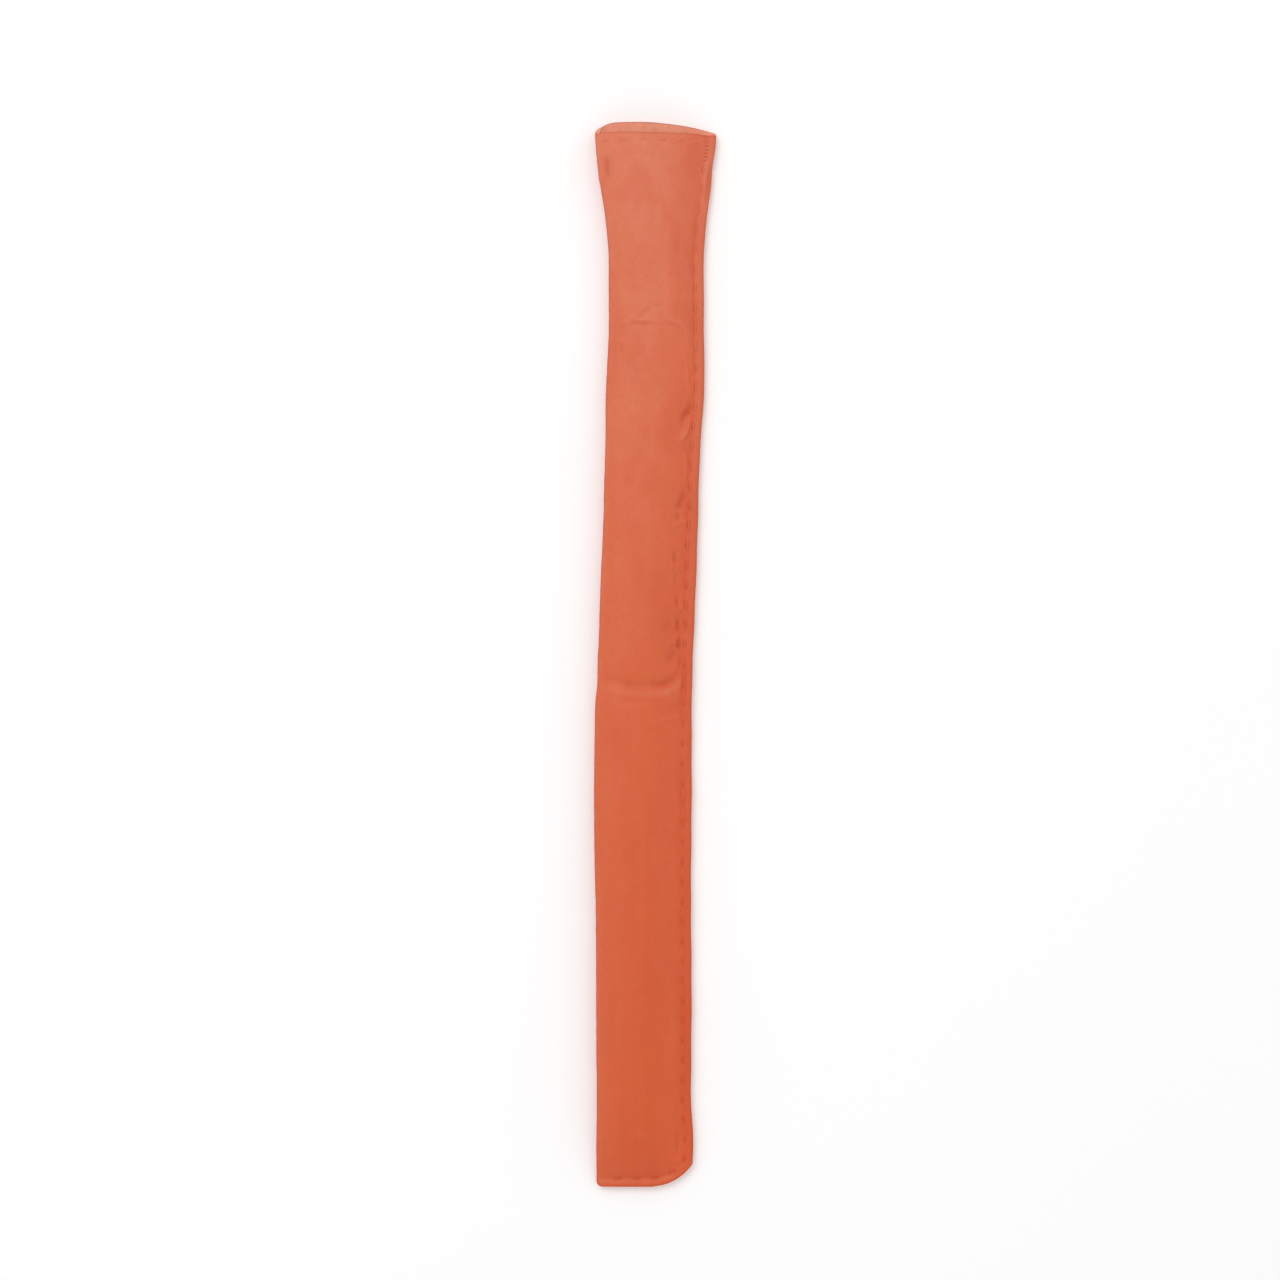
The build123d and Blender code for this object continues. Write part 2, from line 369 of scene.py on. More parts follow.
# Creases of the front wall: points (x, s), groove depth, ridge height, width and ridge offset,
# in millimetres. A minus offset puts the ridge on the line's other side.
FRONT_CREASES = [
    # the arched wrinkles below the neck
    ([(-7.8, 71.9), (-5.4, 69.9), (-1.7, 67.6), (2.1, 66.0)], 0.32, 0.26, 0.8, 1.6),
    ([(-9.4, 73.6), (-6.6, 72.8), (-4.0, 73.1), (2.3, 73.5)], 0.40, 0.40, 0.7, -1.5),
    ([(2.9, 72.7), (5.9, 73.1), (9.4, 74.7)], 0.32, 0.28, 0.7, -1.4),
    ([(0.5, 66.0), (1.5, 66.6), (2.7, 66.6)], 0.40, 0.0, 0.6, 1.0),
    ([(-12.4, 73.6), (-11.2, 74.0), (-10.0, 73.8)], 0.26, 0.10, 0.7, -1.2),
    # the long soft fold line of the flare, with a hollow beside it
    ([(3.1, 16.0), (3.3, 41.7), (2.9, 63.4), (3.5, 93.1)], 0.16, 0.12, 1.5, 2.6),
    ([(8.6, 29.8), (8.1, 51.6), (9.2, 71.3)], 0.18, 0.10, 1.3, 2.0),
    ([(15.0, 45.6), (14.4, 59.5), (14.2, 77.3)], 0.18, 0.10, 0.8, -1.2),
    # beside the facing, at the folded edge
    ([(-17.9, 13.4), (-17.3, 17.6), (-16.5, 22.4)], 0.52, 0.24, 1.5, 2.6),
    ([(-19.4, 8.0), (-18.3, 16.0), (-17.5, 28.8)], 0.10, 0.16, 0.7, 1.1),
    # the pressed stretch of the right edge, below the facing
    ([(19.9, 14.8), (19.2, 20.0), (17.8, 29.0)], 0.42, 0.0, 1.0, 1.4),
    # wrinkled leather beside the seam
    ([(9.4, 75.3), (10.4, 83.2), (10.0, 91.1), (11.2, 99.0)], 0.20, 0.16, 0.8, -1.4),
    ([(12.2, 77.3), (11.8, 85.2), (12.8, 94.1)], 0.18, 0.14, 0.7, 1.2),
    ([(0.7, 91.1), (2.9, 96.1), (0.9, 102.0)], 0.30, 0.06, 2.8, 3.8),
    ([(13.8, 100.4), (12.4, 103.0), (10.6, 105.6), (9.4, 110.4)], 0.72, 0.10, 1.5, -2.4),
    ([(8.4, 115.8), (10.6, 114.2), (12.6, 110.6), (13.6, 106.4)], 0.20, 0.52, 1.2, -1.7),
    ([(11.8, 117.8), (12.1, 123.7), (11.4, 129.7)], 0.14, 0.24, 0.6, 1.0),
    ([(10.4, 131.6), (9.4, 135.6), (7.6, 138.6)], 0.52, 0.14, 1.2, 1.9),
    ([(8.4, 140.0), (8.2, 141.7), (9.2, 142.9)], 0.42, 0.10, 0.9, 1.3),
    ([(7.4, 146.0), (9.7, 144.4), (12.0, 145.0)], 0.18, 0.36, 1.0, -1.6),
    # short sunk stretches above the lower bend
    ([(7.2, 153.4), (7.0, 155.6), (7.3, 158.0)], 0.46, 0.10, 0.6, 1.1),
    ([(7.4, 161.6), (7.3, 163.6), (7.6, 165.6)], 0.34, 0.10, 0.6, 1.1),
    ([(7.7, 169.4), (7.8, 171.6), (8.1, 173.8)], 0.48, 0.12, 0.6, 1.1),
    ([(8.2, 177.2), (8.3, 179.4), (8.2, 181.8)], 0.54, 0.14, 0.7, 1.1),
    ([(8.7, 184.6), (8.8, 186.8), (8.9, 188.4)], 0.60, 0.14, 0.9, 1.2),
    ([(9.0, 190.6), (9.0, 192.8), (8.7, 195.0)], 0.56, 0.10, 0.9, 1.2),
    ([(5.9, 150.0), (5.9, 165.0), (6.6, 182.0)], 0.0, 0.12, 0.7, 0.4),
    # the folded band at the lower bend, and the slack above its right end
    ([(-18.6, 199.0), (-15.4, 199.6), (-11.0, 200.6), (-7.4, 201.0)], 0.26, 0.24, 1.2, 2.9),
    ([(-10.4, 200.6), (-5.0, 201.2), (1.0, 201.2), (4.6, 200.2)], 0.28, 0.22, 1.4, 2.8),
    ([(1.4, 201.2), (4.8, 200.2), (7.2, 198.2), (8.8, 195.4)], 0.38, 0.26, 1.1, 2.5),
    ([(-2.0, 200.2), (3.0, 200.0), (7.0, 197.6)], 0.34, 0.0, 1.2, 2.0),
    ([(-17.0, 206.4), (-9.0, 207.0), (-1.0, 206.6)], 0.22, 0.0, 0.9, 2.0),
    ([(4.0, 194.0), (6.4, 190.5), (8.0, 186.0)], 0.40, 0.08, 1.9, 2.9),
    ([(-2.2, 217.9), (3.9, 214.9), (11.8, 213.3)], 0.14, 0.22, 1.2, -1.9),
    ([(5.7, 210.2), (7.9, 209.2), (10.6, 209.0)], 0.30, 0.06, 1.6, 2.3),
    # faint marks near the folded edge
    ([(-12.9, 79.2), (-12.3, 81.2), (-12.7, 83.2)], 0.20, 0.05, 0.8, 1.2),
    ([(-14.9, 77.3), (-14.3, 80.2), (-14.7, 83.2)], 0.16, 0.05, 0.8, 1.2),
    ([(-16.5, 126.7), (-15.5, 128.7), (-15.9, 130.9)], 0.16, 0.05, 0.7, 1.1),
    ([(-16.3, 151.4), (-15.1, 154.4), (-15.8, 158.8)], 0.20, 0.05, 0.7, 1.1),
    ([(-16.9, 160.3), (-15.5, 162.7), (-16.1, 165.9)], 0.16, 0.05, 0.8, 1.2),
    ([(-16.3, 186.0), (-15.8, 189.0), (-16.3, 192.6)], 0.14, 0.05, 0.7, 1.1),
    # the pressed corner inside the toe
    ([(-9.0, 362.7), (-0.1, 362.5), (4.9, 359.9), (7.3, 355.7)], 0.12, 0.06, 1.6, -2.2),
    ([(8.2, 359.1), (8.1, 364.0), (7.7, 369.0)], 0.26, 0.10, 0.9, 1.4),
]

# How strongly the seam puckers: (middle, reach, strength)
PUCKERS = [(48, 20, 0.1), (86, 14, 0.35), (110, 10, 0.8), (140, 10, 0.8), (172, 22, 1.1)]


def pucker_strength(s):
    total = 0.12 + 0 * s
    for middle, reach, strength in PUCKERS:
        total = total + strength * bump(s, middle, reach)
    return total * (1 - 0.8 * soft_step(s, 206, 4))


def seam_relief(x, s, seam):
    """The sunk stitch line, the swelling between its stitches and the wrinkles they pull."""
    across = x - seam
    strength = pucker_strength(s)
    relief = -(0.05 + 0.1 * strength) * np.exp(-((across / 0.8) ** 2))
    beat = 0.5 - 0.5 * np.cos(2 * np.pi * (s - SEAM_START) / (2 * STITCH) + 0.6)
    wide = np.where(across < 0, 2.6, 1.7)
    swelling = 0.15 * strength * (beat - 0.5) * np.exp(-((across / wide) ** 2))
    out = np.zeros_like(x)
    for place in np.arange(SEAM_START + STITCH, TOE_SEAM - 14, 2 * STITCH):
        size = pucker_strength(np.array(place)) * rng.uniform(0.35, 1.0)
        tilt = rng.uniform(-0.8, 0.8)
        reach = rng.uniform(2.0, 5.5)
        width = rng.uniform(0.55, 1.0)
        shift = rng.uniform(-1.2, 1.2)
        line = (s - place - shift) - tilt * across
        into = np.exp(-((np.minimum(across, 0) / reach) ** 2)) * (across < 0.4)
        out += -0.24 * size * np.exp(-((line / width) ** 2)) * into
        out += 0.17 * size * np.exp(-(((line - 1.5 * width) / (1.3 * width)) ** 2)) * into
    return relief + (out + swelling) * (1 - bump(across, 0, 0.9))


def waves(x, s, size, amount, seed):
    """Gentle undulation: a few sine waves with seeded directions and phases."""
    local = np.random.default_rng(seed)
    total = np.zeros_like(x)
    for _ in range(7):
        angle = local.uniform(0, np.pi)
        length = size * local.uniform(0.6, 1.7)
        phase = local.uniform(0, 2 * np.pi)
        total += np.sin((x * np.cos(angle) + s * np.sin(angle)) * 2 * np.pi / length + phase)
    return total * amount / 7**0.5


def front_relief(x, s):
    seam = seam_edge(s)
    relief = waves(x, s, 26, 0.12, 4) + waves(x, s, 9, 0.035, 5)
    for points, groove, ridge, width, offset in FRONT_CREASES:
        relief += crease(x, s, points, groove, ridge, width, offset)
    relief = relief * (1 - bump(x, seam, 0.9)) + seam_relief(x, s, seam)
    # the facing's lower edge shows through the wall as a faint step
    relief += 0.12 * (1 - soft_step(s, FACING_DEPTH, 0.5)) * (x < seam)
    # the leather is pressed flat beside the toe seam
    toe_gap = toe_end(x) - SEAM_INSET - s
    relief += 0.22 * bump(toe_gap, -2.2, 0.8) - 0.05 * bump(toe_gap, 0, 0.8)
    return relief


def relief_of(points, s):
    """Height to add along the normal at every point of the leather."""
    x = points[..., 0]
    fade = np.clip((points[..., 2] - FLANGE * 0.5) / 1.5, 0, 1)
    fade = np.where(ON_FRONT[None, :], fade, 0)
    front = front_relief(x, s) * fade
    back = np.clip(waves(x, s, 22, 0.08, 8), -0.2, 0.2) * (STRETCH == "back")[None, :] * 0.4
    return front - np.abs(back)


# ---------------------------------------------------------------- mesh making

def grid_faces(rows, cols, start, flip):
    index = start + np.arange(rows * cols).reshape(rows, cols)
    a, b = index[:-1, :-1].ravel(), index[:-1, 1:].ravel()
    c, d = index[1:, 1:].ravel(), index[1:, :-1].ravel()
    quads = np.stack([a, b, c, d], axis=1) if flip else np.stack([a, d, c, b], axis=1)
    return quads.tolist()


def rim_faces(rows, cols, start_out, start_in):
    """Quads that join the outer and inner grids round their common border."""
    grid = np.arange(rows * cols).reshape(rows, cols)
    loop = [*grid[0, :], *grid[1:, -1], *grid[-1, -2::-1], *grid[-2:0:-1, 0]]
    faces = []
    for n, a in enumerate(loop):
        b = loop[(n + 1) % len(loop)]
        faces.append([start_out + a, start_out + b, start_in + b, start_in + a])
    return faces


def make_piece(name, points, faces, material, values=None):
    """A smooth mesh object from points in millimetres. values holds a number for each point,
    for each named attribute that the material reads."""
    mesh = bpy.data.meshes.new(name)
    mesh.from_pydata((np.asarray(points) * MM).tolist(), [], faces)
    mesh.update()
    if values is not None:
        for key, numbers in values.items():
            layer = mesh.attributes.new(key, "FLOAT", "POINT")
            layer.data.foreach_set("value", np.asarray(numbers, dtype=np.float32))
    mesh.polygons.foreach_set("use_smooth", [True] * len(mesh.polygons))
    piece = bpy.data.objects.new(name, mesh)
    bpy.context.scene.collection.objects.link(piece)
    mesh.materials.append(material)
    return piece


def closed_sheet(name, outer, inner, material, edge_material, values=None):
    """A sheet with two faces and a cut edge all round."""
    rows, cols = outer.shape[:2]
    count = rows * cols
    points = np.concatenate([outer.reshape(-1, 3), inner.reshape(-1, 3)])
    faces = grid_faces(rows, cols, 0, True)
    faces += grid_faces(rows, cols, count, False)
    skin_faces = len(faces)
    faces += rim_faces(rows, cols, 0, count)
    both = {key: np.concatenate([v.ravel(), 0 * v.ravel()]) for key, v in (values or {}).items()}
    piece = make_piece(name, points, faces, material, both)
    mesh = piece.data
    mesh.materials.append(edge_material)
    for face in mesh.polygons[skin_faces:]:
        face.material_index = 1
        face.use_smooth = False
    return piece


# ---------------------------------------------------------------- materials

class Nodes:
    """Small helper that adds shader nodes and links them."""

    def __init__(self, name):
        self.material = bpy.data.materials.new(name)
        self.material.use_nodes = True
        self.tree = self.material.node_tree
        self.shader = self.tree.nodes["Principled BSDF"]
        self.place = self.add("ShaderNodeTexCoord").outputs["Object"]

    def add(self, kind, **settings):
        node = self.tree.nodes.new(kind)
        for key, value in settings.items():
            setattr(node, key, value)
        return node

    def link(self, source, target):
        self.tree.links.new(source, target)

    def noise(self, scale, detail=4.0, roughness=0.5, stretch=(1, 1, 1)):
        mapping = self.add("ShaderNodeMapping")
        mapping.inputs["Scale"].default_value = stretch
        self.link(self.place, mapping.inputs["Vector"])
        node = self.add("ShaderNodeTexNoise")
        node.inputs["Scale"].default_value = scale
        node.inputs["Detail"].default_value = detail
        node.inputs["Roughness"].default_value = roughness
        self.link(mapping.outputs["Vector"], node.inputs["Vector"])
        return node.outputs["Fac"]

    def cells(self, scale):
        node = self.add("ShaderNodeTexVoronoi", feature="DISTANCE_TO_EDGE")
        node.inputs["Scale"].default_value = scale
        self.link(self.place, node.inputs["Vector"])
        return node.outputs["Distance"]

    def scaled(self, source, low, high, to_low=0.0, to_high=1.0):
        node = self.add("ShaderNodeMapRange")
        node.inputs["From Min"].default_value = low
        node.inputs["From Max"].default_value = high
        node.inputs["To Min"].default_value = to_low
        node.inputs["To Max"].default_value = to_high
        self.link(source, node.inputs["Value"])
        return node.outputs["Result"]

    def mixed(self, share, first, second):
        node = self.add("ShaderNodeMix", data_type="RGBA")
        sockets = (node.inputs[0], node.inputs[6], node.inputs[7])
        for source, socket in zip((share, first, second), sockets):
            if isinstance(source, (int, float)):
                socket.default_value = source
            elif isinstance(source, tuple):
                socket.default_value = (*source, 1.0)
            else:
                self.link(source, socket)
        return node.outputs[2]

    def math(self, operation, first, second):
        node = self.add("ShaderNodeMath", operation=operation)
        for source, socket in ((first, node.inputs[0]), (second, node.inputs[1])):
            if isinstance(source, (int, float)):
                socket.default_value = source
            else:
                self.link(source, socket)
        return node.outputs[0]

    def ramp(self, source, stops):
        """A colour that passes through stops, each a place from 0 to 1 and a colour."""
        node = self.add("ShaderNodeValToRGB")
        elements = node.color_ramp.elements
        while len(elements) < len(stops):
            elements.new(0.5)
        for element, (place, tone) in zip(elements, stops):
            element.position = place
            element.color = (*tone, 1.0)
        self.link(source, node.inputs["Fac"])
        return node.outputs["Color"]

    def attribute(self, name):
        return self.add("ShaderNodeAttribute", attribute_name=name).outputs["Fac"]

    def along(self):
        """0 at the toe to 1 at the mouth."""
        parts = self.add("ShaderNodeSeparateXYZ")
        self.link(self.place, parts.inputs["Vector"])
        return self.scaled(parts.outputs["Y"], float(wrap_low[1]), float(wrap_high[1]))

    def bumped(self, height, distance, strength, below=None):
        node = self.add("ShaderNodeBump")
        node.inputs["Strength"].default_value = strength
        node.inputs["Distance"].default_value = distance
        self.link(height, node.inputs["Height"])
        if below is not None:
            self.link(below, node.inputs["Normal"])
        return node.outputs["Normal"]


def linear(red, green, blue):
    """A colour written as 0 to 255 display values, in the shader's linear values."""
    return tuple(
        c / 12.92 if c <= 0.04045 else ((c + 0.055) / 1.055) ** 2.4
        for c in (red / 255, green / 255, blue / 255)
    )


# The leather's orange dye from the toe (0) to the mouth (1), with painted light and sheen that make
# it paler and whiter towards the mouth
DYE_WITH_PAINTED_LIGHT = [
    (0.0, linear(209, 84, 36)),
    (0.25, linear(209, 88, 43)),
    (0.5, linear(211, 95, 54)),
    (0.75, linear(212, 107, 71)),
    (1.0, linear(214, 118, 88)),
]


def smooth_leather():
    """Orange leather: mottled dye, painted light paler towards the mouth and the left, painted shade
    in creases and at the edges, painted highlights on ridges, fine grain.
    """
    n = Nodes("smooth_leather")
    # orange dye with painted light and sheen, paler towards the mouth
    base = n.ramp(n.along(), DYE_WITH_PAINTED_LIGHT)
    across = n.attribute("across")
    # painted light: lighter towards the folded left side, where the light comes from
    base = n.mixed(n.scaled(across, 0.4, 0.0, 0, 0.25), base, linear(214, 112, 76))
    # painted light: lifts the wall's fall towards the seam, which the lamps shade darker
    base = n.mixed(n.math("MULTIPLY", n.attribute("slope"), 0.42), base, linear(228, 98, 54))
    cloudy = n.scaled(n.noise(75, 5, 0.62, (1.2, 0.8, 1)), 0.4, 0.62)
    base = n.mixed(n.math("MULTIPLY", cloudy, 0.34), base, linear(205, 84, 46))
    streak = n.scaled(n.noise(180, 3, 0.6, (1.4, 0.16, 1)), 0.42, 0.72)
    base = n.mixed(n.math("MULTIPLY", streak, 0.05), base, linear(224, 134, 104))
    speck = n.scaled(n.noise(700, 4, 0.7), 0.52, 0.7)
    base = n.mixed(n.math("MULTIPLY", speck, 0.22), base, linear(196, 78, 42))
    # painted shade in the creases
    base = n.mixed(n.math("MULTIPLY", n.attribute("groove"), 0.58), base, linear(176, 60, 28))
    # painted highlight on the ridges and along the toe
    base = n.mixed(n.math("MULTIPLY", n.attribute("ridge"), 0.3), base, linear(230, 142, 112))
    # painted shade at the edges and on the flange
    base = n.mixed(n.math("MULTIPLY", n.attribute("border"), 0.5), base, linear(186, 66, 34))
    n.link(base, n.shader.inputs["Base Color"])
    rough = n.scaled(n.noise(260, 3), 0.3, 0.7, 0.44, 0.6)
    n.link(rough, n.shader.inputs["Roughness"])
    n.shader.inputs["Specular IOR Level"].default_value = 0.34
    pebble = n.scaled(n.cells(1300), 0.0, 0.3)
    grain = n.bumped(pebble, 0.00012, 0.3)
    pores = n.bumped(n.noise(3200, 2, 0.6), 0.00005, 0.25, grain)
    wrinkles = n.scaled(n.noise(420, 5, 0.65, (1.0, 0.55, 1)), 0.35, 0.65)
    n.link(n.bumped(wrinkles, 0.00026, 0.3, pores), n.shader.inputs["Normal"])
    return n.material


def cut_leather():
    """The raw cut edge: paler, fibrous, dull."""
    n = Nodes("cut_leather_edge")
    fibres = n.scaled(n.noise(1400, 4, 0.7, (1, 1, 3)), 0.35, 0.65)
    base = n.mixed(fibres, linear(206, 110, 78), linear(232, 158, 128))
    n.link(base, n.shader.inputs["Base Color"])
    n.link(n.scaled(fibres, 0, 1, 0.7, 0.85), n.shader.inputs["Roughness"])
    n.shader.inputs["Specular IOR Level"].default_value = 0.2
    n.link(n.bumped(n.noise(2200, 3, 0.7), 0.0001, 0.5), n.shader.inputs["Normal"])
    return n.material


def facing_leather():
    """Thin split leather: lighter, with a short nap."""
    n = Nodes("facing_leather")
    nap = n.scaled(n.noise(420, 4, 0.6), 0.3, 0.7)
    base = n.mixed(nap, linear(228, 140, 110), linear(238, 160, 132))
    n.link(base, n.shader.inputs["Base Color"])
    n.link(n.scaled(nap, 0, 1, 0.68, 0.8), n.shader.inputs["Roughness"])
    n.shader.inputs["Specular IOR Level"].default_value = 0.25
    n.shader.inputs["Sheen Weight"].default_value = 0.25
    n.link(n.bumped(n.noise(2600, 3, 0.6), 0.00006, 0.2), n.shader.inputs["Normal"])
    return n.material


def lining_cloth():
    """Plain woven cotton: crossed threads from two waves, slightly uneven."""
    n = Nodes("lining_cloth")
    uneven = n.scaled(n.noise(500, 3, 0.6), 0.3, 0.7)
    warp = n.add("ShaderNodeTexWave", wave_type="BANDS", bands_direction="X")
    weft = n.add("ShaderNodeTexWave", wave_type="BANDS", bands_direction="Y")
    for wave in (warp, weft):
        wave.inputs["Scale"].default_value = 380
        wave.inputs["Distortion"].default_value = 0.6
        n.link(n.place, wave.inputs["Vector"])
    weave = n.math("MAXIMUM", warp.outputs["Fac"], weft.outputs["Fac"])
    base = n.mixed(weave, linear(168, 72, 44), linear(214, 116, 84))
    base = n.mixed(n.math("MULTIPLY", uneven, 0.25), base, linear(190, 90, 58))
    n.link(base, n.shader.inputs["Base Color"])
    n.link(n.scaled(uneven, 0, 1, 0.82, 0.95), n.shader.inputs["Roughness"])
    n.shader.inputs["Specular IOR Level"].default_value = 0.15
    n.shader.inputs["Sheen Weight"].default_value = 0.4
    n.link(n.bumped(weave, 0.00012, 0.5), n.shader.inputs["Normal"])
    return n.material


def waxed_thread():
    """Twisted polyester thread in the leather's own dye and its painted light, paler towards the
    mouth, with a waxy shine.
    """
    n = Nodes("waxed_thread")
    fibre = n.scaled(n.noise(2600, 3, 0.6), 0.35, 0.68)
    # the leather's dye with its painted light, paler towards the mouth
    base = n.ramp(n.along(), DYE_WITH_PAINTED_LIGHT)
    base = n.mixed(n.math("MULTIPLY", fibre, 0.12), base, linear(186, 74, 40))
    n.link(base, n.shader.inputs["Base Color"])
    n.link(n.scaled(fibre, 0, 1, 0.42, 0.6), n.shader.inputs["Roughness"])
    n.shader.inputs["Specular IOR Level"].default_value = 0.4
    n.link(n.bumped(n.noise(5200, 2, 0.6), 0.00004, 0.4), n.shader.inputs["Normal"])
    return n.material


def pale_floor():
    n = Nodes("pale_floor")
    cloud = n.scaled(n.noise(3, 3, 0.5), 0.3, 0.7)
    base = n.mixed(cloud, (0.965, 0.965, 0.965), (0.98, 0.98, 0.98))
    n.link(base, n.shader.inputs["Base Color"])
    n.shader.inputs["Roughness"].default_value = 0.9
    n.shader.inputs["Specular IOR Level"].default_value = 0.1
    return n.material


# ---------------------------------------------------------------- the pieces

def leather_tones(points, s, relief):
    """Values the colour follows: painted shade in grooves, painted highlights on ridges, place across
    for painted light from the left, painted shade at the edges and on the flange, and painted light
    on the fall to the seam.
    """
    x = points[..., 0]
    # painted shade in the grooves
    groove = np.clip((-relief - 0.14) / 0.6, 0, 1)
    # painted highlight on the ridges
    ridge = np.clip((relief - 0.16) / 0.45, 0, 1)
    left, right = left_edge(s), right_edge(s)
    across = np.clip((x - left) / (right - left), 0, 1)
    # painted shade along the edges, where the surface turns away from the light
    near = np.minimum(x - left, right - x)
    near = np.minimum(near, toe_end(x) - s)
    border = np.clip(1 - near / 0.9, 0, 1) ** 0.7
    seam = seam_edge(s)
    # painted shade on the flange beside the seam, which catches more light than the wall
    flange = soft_step(x, seam + 0.8, 0.5) * (1 - soft_step(s, 350, 6)) * ON_FRONT[None, :]
    border = np.maximum(border, 0.3 * flange)
    toe_gap = toe_end(x) - s
    # painted highlight: a light line along the pressed leather beside the toe seam
    ridge = np.maximum(ridge, 0.6 * bump(toe_gap, SEAM_INSET * 0.7, 1.0) * (x < TOE_CENTRE + 9))
    # painted light on the wall's fall towards the seam
    slope = np.clip((across - 0.55) / 0.25, 0, 1) * (1 - soft_step(x, seam, 0.5))
    return {"groove": groove, "ridge": ridge, "across": across, "border": border, "slope": slope}


def leather_shell(leather, edge):
    s = sheet_rows(None, None)
    points, normals = base_sheet(s)
    relief = relief_of(points, s)
    outer = points + normals * relief[..., None]
    inner = points - normals * (LEATHER - 0.4 * relief[..., None])
    outer[..., 2] = np.maximum(outer[..., 2], 0.0)
    tones = leather_tones(points, s, relief)
    piece = closed_sheet("leather_shell", outer, inner, leather, edge, tones)
    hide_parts("leather_wrap")
    return piece


def inner_sheet(name, first, last, material):
    """A thin layer against the inside of the leather."""
    s = sheet_rows(first, last)
    points, normals = base_sheet(s)
    ruffle = waves(points[..., 0], s, 12, 0.03, 12)
    outer = points - normals * (LEATHER + CLOTH_GAP)
    inner = points - normals * (LEATHER + CLOTH + ruffle[..., None])
    return closed_sheet(name, outer, inner, material, material)


def lining(material):
    piece = inner_sheet("cloth_lining", FACING_DEPTH, None, material)
    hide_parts("lining")
    return piece


def mouth_facing(material):
    piece = inner_sheet("mouth_facing_strip", None, FACING_DEPTH, material)
    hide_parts("mouth_facing")
    return piece


def thread_bar(a, b, up, sink):
    """Points and faces of one stitch: two plies twisted round a bowed line from a to b."""
    a, b, up = np.array(a, float), np.array(b, float), np.array(up, float)
    run = b - a
    reach = np.linalg.norm(run)
    run /= reach
    side = np.cross(up, run)
    rings, round_count = 15, 12
    points = []
    for k in range(rings):
        share = k / (rings - 1)
        bow = math.sin(math.pi * share) ** 0.45
        middle = a + run * reach * share + up * (THREAD_RADIUS * 1.15 * bow - sink)
        thinned = math.sin(math.pi * min(max(share, 0.04), 0.96)) ** 0.3
        thick = THREAD_RADIUS * (0.35 + 0.65 * thinned)
        twist = share * reach * 2.4
        for j in range(round_count):
            angle = 2 * math.pi * j / round_count
            lobe = 0.84 + 0.2 * abs(math.cos(angle - twist))
            offset = side * math.cos(angle) + up * math.sin(angle)
            points.append(middle + offset * thick * lobe)
    faces = []
    for k in range(rings - 1):
        for j in range(round_count):
            nxt = (j + 1) % round_count
            low, high = k * round_count, (k + 1) * round_count
            faces.append([low + j, low + nxt, high + nxt, high + j])
    faces.append(list(range(round_count - 1, -1, -1)))
    faces.append(list(range((rings - 1) * round_count, rings * round_count)))
    return points, faces


def join_bars(name, bars, material, node):
    points, faces = [], []
    for bar_points, bar_faces in bars:
        start = len(points)
        points += bar_points
        faces += [[start + v for v in face] for face in bar_faces]
    piece = make_piece(name, points, faces, material)
    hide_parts(node)
    return piece


def seam_line():
    """Stitch line in plan, from below the bar tack to the left end of the toe."""
    inner = TOE_RADIUS - SEAM_INSET
    turn = math.asin((TOE_ROUND - SEAM_INSET) / inner)
    corner_s = LENGTH - TOE_RADIUS + inner * math.cos(turn)
    s = np.linspace(SEAM_START, corner_s, 700)
    side = np.stack([seam_edge(s), s], axis=1)
    angles = np.linspace(turn, 0, 60)
    arc = np.stack(
        [TOE_CENTRE + inner * np.sin(angles), LENGTH - TOE_RADIUS + inner * np.cos(angles)], axis=1
    )
    toe_x = np.linspace(TOE_CENTRE, TOE_LEFT + FLANGE / 2 + 2 * THREAD_RADIUS, 60)
    toe = np.stack([toe_x, 0 * toe_x + TOE_SEAM], axis=1)
    return side, np.concatenate([arc, toe[1:]])


def even_points(line, pitch):
    steps = np.linalg.norm(np.diff(line, axis=0), axis=1)
    far = np.concatenate([[0], np.cumsum(steps)])
    count = max(2, round(far[-1] / pitch) + 1)
    if count % 2 == 1:
        count -= 1
    at = np.linspace(0, far[-1], count)
    return np.stack([np.interp(at, far, line[:, k]) for k in (0, 1)], axis=1)


def running_bars(holes, top_z):
    """Over the front for one stitch and under the back for the next."""
    bars = []
    for n, (a, b) in enumerate(zip(holes, holes[1:])):
        first = (a[0], MOUTH_Y - a[1])
        second = (b[0], MOUTH_Y - b[1])
        if n % 2 == 0:
            bars.append(thread_bar((*first, top_z), (*second, top_z), (0, 0, 1), SEAM_SINK))
        else:
            ends = (*first, UNDER_LEVEL), (*second, UNDER_LEVEL)
            bars.append(thread_bar(*ends, (0, 0, 1), UNDER_SINK))
    return bars


def seam_threads(material):
    side, toe = seam_line()
    top = FLANGE - SEAM_TROUGH
    side_holes = even_points(side, STITCH)
    toe_holes = even_points(toe, STITCH)
    return [
        join_bars("side_seam_stitches", running_bars(side_holes, top), material, "side_seam_thread"),
        join_bars("toe_seam_stitches", running_bars(toe_holes[1:], top), material, "toe_seam_thread"),
    ]


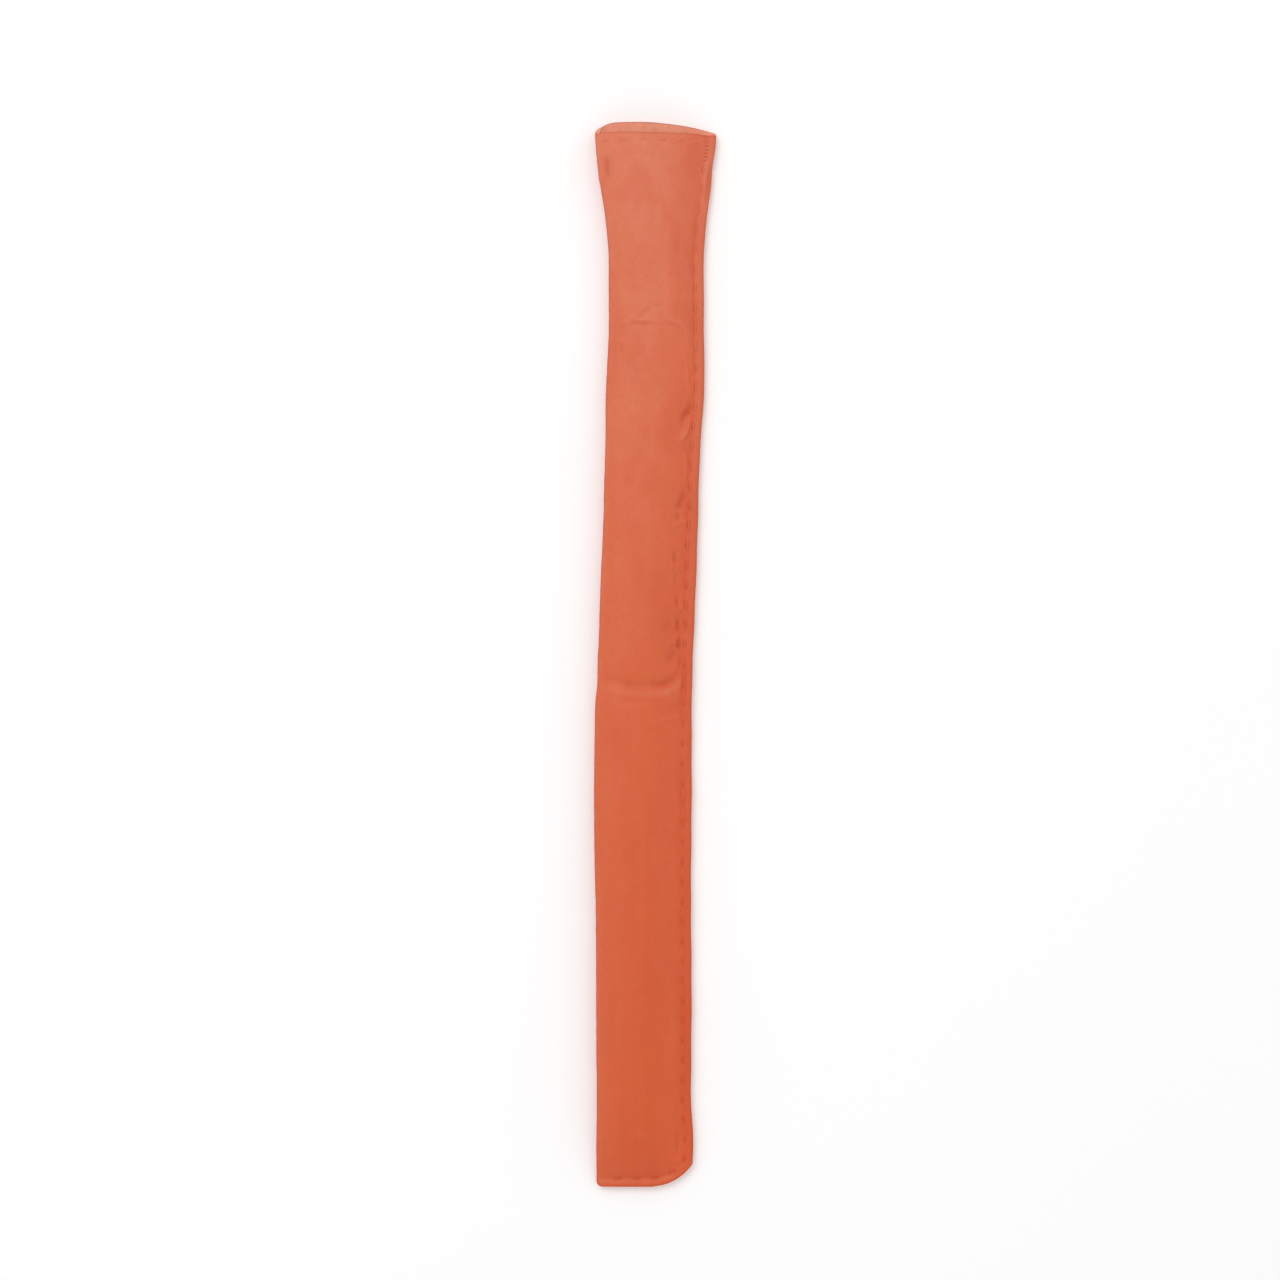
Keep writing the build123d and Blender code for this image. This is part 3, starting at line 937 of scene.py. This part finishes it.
def hem_stitches(material):
    """A row below the front rim and one below the back rim, through wall and facing."""
    s = FRONT_DROP + HEM_INSET
    row = np.full((1, len(COLUMNS)), s)
    x, z = section(row)
    front = np.stack([x[0], z[0]], axis=1)[np.isin(STRETCH, ("rise", "fall"))]
    steps = np.concatenate([[0], np.cumsum(np.linalg.norm(np.diff(front, axis=0), axis=1))])
    bars = []
    for start in np.arange(6.0, steps[-1] - 5.5, 2 * STITCH):
        ends = [
            (np.interp(d, steps, front[:, 0]), MOUTH_Y - s, np.interp(d, steps, front[:, 1]))
            for d in (start, start + STITCH)
        ]
        run = np.subtract(ends[1], ends[0])
        up = np.array([-run[2], 0, run[0]]) / np.linalg.norm(run)
        bars.append(thread_bar(*ends, up, HEM_SINK))
    first = -half_width(s) + MOUTH_FOLD + STITCH
    last = float(seam_edge(np.array(s))) - STITCH
    for start in np.arange(first, last - STITCH, 2 * STITCH):
        inside = LEATHER + CLOTH - FACING_SINK
        ends = [(start + d, MOUTH_Y - s, inside) for d in (0, STITCH)]
        bars.append(thread_bar(*ends, (0, 0, 1), FACING_SINK))
    return join_bars("mouth_hem_stitches", bars, material, "mouth_hem_thread")


def bar_tack(material):
    bars = []
    for n in range(TACK_COUNT):
        s = SEAM_START - (n + 1.5) * TACK_PITCH
        x = float(right_edge(np.array(s))) - SEAM_INSET
        skew = 0.25 * math.sin(2.3 * n)
        for z in (FLANGE + 0.02, UNDER_LEVEL):
            a = (x - TACK_LENGTH / 2, MOUTH_Y - s - skew, z)
            b = (x + TACK_LENGTH / 2, MOUTH_Y - s + skew, z)
            bars.append(thread_bar(a, b, (0, 0, 1), TACK_SINK))
    return join_bars("mouth_bar_tack_stitches", bars, material, "mouth_bar_tack")


# ---------------------------------------------------------------- stage

def build_floor():
    bpy.ops.mesh.primitive_plane_add(size=8.0, location=(0, 0, cad_low[2]))
    floor = bpy.context.object
    floor.name = "pale_floor"
    floor.data.materials.append(pale_floor())


def area_light(name, place, target, width, power):
    data = bpy.data.lights.new(name, "AREA")
    data.shape = "SQUARE"
    data.size = width
    data.energy = power
    light = bpy.data.objects.new(name, data)
    light.location = place
    direction = np.array(target) - np.array(place)
    light.rotation_mode = "QUATERNION"
    light.rotation_quaternion = Vector(direction).to_track_quat("-Z", "Y")
    bpy.context.scene.collection.objects.link(light)


def build_lights():
    area_light("key", (-0.42, 0.62, 1.35), (0, 0.02, 0), 0.8, 6.4)
    world = bpy.data.worlds.new("soft_room")
    world.use_nodes = True
    background = world.node_tree.nodes["Background"]
    background.inputs["Color"].default_value = (1, 1, 1, 1)
    background.inputs["Strength"].default_value = 0.83
    bpy.context.scene.world = world


def build_camera():
    """Straight down on the front wall, with the mouth at the top of the picture."""
    frame_side = 0.4541
    lens, sensor = 85.0, 36.0
    data = bpy.data.cameras.new("camera")
    data.lens = lens
    data.sensor_width = sensor
    data.dof.use_dof = False
    camera = bpy.data.objects.new("camera", data)
    middle = (cad_low + cad_high) / 2
    away = frame_side * lens / sensor
    camera.location = (middle[0] - 0.0054, middle[1] + 0.005, cad_high[2] * 0.6 + away)
    bpy.context.scene.collection.objects.link(camera)
    bpy.context.scene.camera = camera


def build():
    build_camera()
    leather, edge = smooth_leather(), cut_leather()
    thread = waxed_thread()
    pieces = [
        leather_shell(leather, edge),
        lining(lining_cloth()),
        mouth_facing(facing_leather()),
        *seam_threads(thread),
        hem_stitches(thread),
        bar_tack(thread),
    ]
    for piece in pieces:
        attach(piece, "root")
    build_floor()
    build_lights()
    bpy.context.scene.view_settings.view_transform = "Standard"


build()
